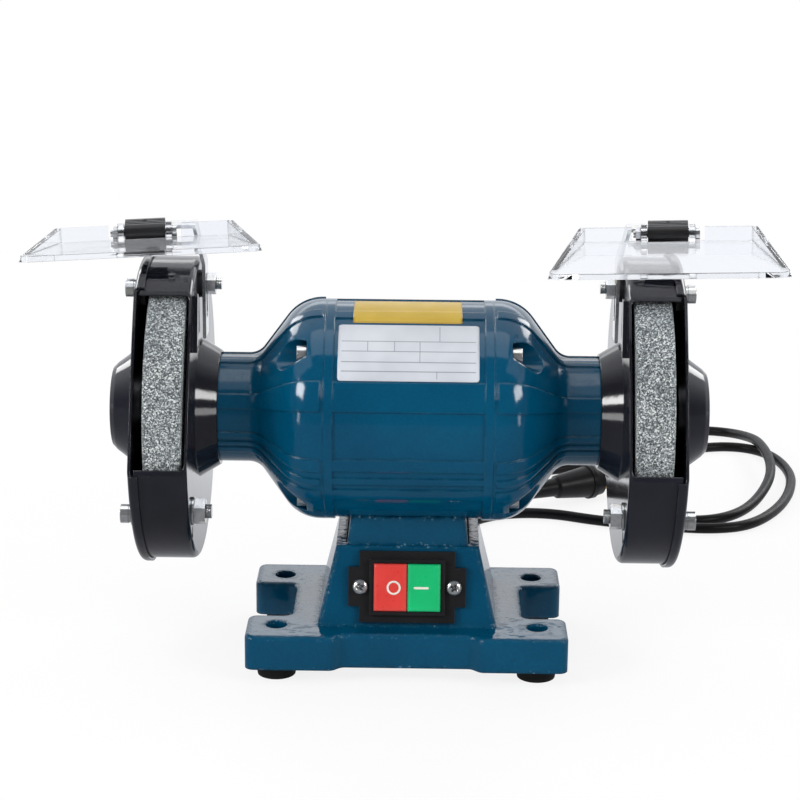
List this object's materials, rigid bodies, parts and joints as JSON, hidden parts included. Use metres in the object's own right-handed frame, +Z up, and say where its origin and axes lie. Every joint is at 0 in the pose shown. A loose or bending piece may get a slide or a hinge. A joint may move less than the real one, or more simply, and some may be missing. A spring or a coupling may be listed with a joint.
{
  "type": "bench grinder",
  "caption": "Small bench grinder: a motor on a cast pedestal base turns grinding wheels in guards under clear tilting eye shields, with a push-button switch and a corded plug.",
  "frame": {"origin": "centre of the bench-bolt rectangle on the plane of the feet", "axes": "+X along the motor shaft to the right, -Y to the user, +Z up"},
  "size_m": [0.3683, 0.4256, 0.198],
  "materials": {
    "enamel": "gloss enamel",
    "guard_paint": "gloss",
    "zinc": "bright zinc plate",
    "steel": "turned",
    "core_steel": "laminated steel",
    "copper": "varnished copper wire",
    "cast_aluminium": "as cast",
    "abrasive": "coarse vitrified grain",
    "paper": "matt",
    "rubber": "matt",
    "cord_sheath": "satin",
    "clear_plastic": "clear",
    "black_plastic": "satin",
    "white_plastic": "satin",
    "red_plastic": "satin",
    "green_plastic": "satin",
    "brass": "bright"
  },
  "bodies": {
    "base": {"base_casting": "enamel", "stator_housing": "enamel", "left_end_bell": "enamel", "right_end_bell": "enamel", "left_guard_shell": "guard_paint", "right_guard_shell": "guard_paint", "left_guard_cover": "guard_paint", "right_guard_cover": "guard_paint", "bottom_plate": "zinc", "bottom_plate_screws": "zinc", "housing_screws": "zinc", "end_bell_screws": "zinc", "guard_cover_screws": "zinc", "guard_cover_washers": "zinc", "guard_fixing_screws": "zinc", "guard_studs": "zinc", "guard_stud_nuts": "zinc", "guard_stud_washers": "zinc", "switch_screws": "zinc", "bearing_outer_rings": "steel", "preload_washer": "steel", "stator_core": "core_steel", "stator_windings": "copper", "run_capacitor": "cast_aluminium", "rubber_feet": "rubber", "cord_strain_relief": "rubber", "power_cord": "cord_sheath", "plug_body": "cord_sheath", "switch_plate": "black_plastic", "switch_body": "black_plastic", "bracket_spacers": "black_plastic", "capacitor_clip": "black_plastic", "terminal_block": "white_plastic", "plug_pins": "brass"},
    "rotor": {"rotor_shaft": "steel", "rotor_core": "core_steel", "rotor_end_rings": "cast_aluminium", "bearing_inner_rings": "steel", "bearing_balls": "steel", "left_inner_flange": "steel", "right_inner_flange": "steel", "left_wheel": "abrasive", "right_wheel": "abrasive", "wheel_blotters": "paper", "left_outer_flange": "steel", "right_outer_flange": "steel", "left_wheel_nut": "steel", "right_wheel_nut": "steel"},
    "left_bracket": {"left_shield_bracket": "zinc", "left_hinge_block": "black_plastic", "left_block_screw": "zinc"},
    "right_bracket": {"right_shield_bracket": "zinc", "right_hinge_block": "black_plastic", "right_block_screw": "zinc"},
    "left_shield": {"left_eye_shield": "clear_plastic", "left_hinge_screw": "zinc"},
    "right_shield": {"right_eye_shield": "clear_plastic", "right_hinge_screw": "zinc"},
    "off_key": {"off_button": "red_plastic"},
    "on_key": {"on_button": "green_plastic"}
  },
  "joints": [
    {"name": "rotor_spin", "type": "hinge", "parent": "base", "child": "rotor", "pos_m": [0, 0, 0.1115], "axis": [1, 0, 0], "continuous": true},
    {"name": "left_bracket_slide", "type": "slide", "parent": "base", "child": "left_bracket", "axis": [0, 0, 1], "range_m": [0, 0.012]},
    {"name": "right_bracket_slide", "type": "slide", "parent": "base", "child": "right_bracket", "axis": [0, 0, 1], "range_m": [0, 0.012]},
    {"name": "left_shield_tilt", "type": "hinge", "parent": "left_bracket", "child": "left_shield", "pos_m": [-0.1131, -0.008, 0.1907], "axis": [0.9941, 0.101, 0.0401], "range_deg": [-55, 10]},
    {"name": "right_shield_tilt", "type": "hinge", "parent": "right_bracket", "child": "right_shield", "pos_m": [0.1088, -0.008, 0.1925], "axis": [0.9943, -0.0975, 0.0436], "range_deg": [-55, 10]},
    {"name": "off_press", "type": "slide", "parent": "base", "child": "off_key", "axis": [0, 0.9736, -0.2284], "range_m": [0, 0.0026], "stiffness_N_per_m": 500, "springref_m": -0.002},
    {"name": "on_press", "type": "slide", "parent": "base", "child": "on_key", "axis": [0, 0.9736, -0.2284], "range_m": [0, 0.0026], "stiffness_N_per_m": 500, "springref_m": -0.002}
  ]
}
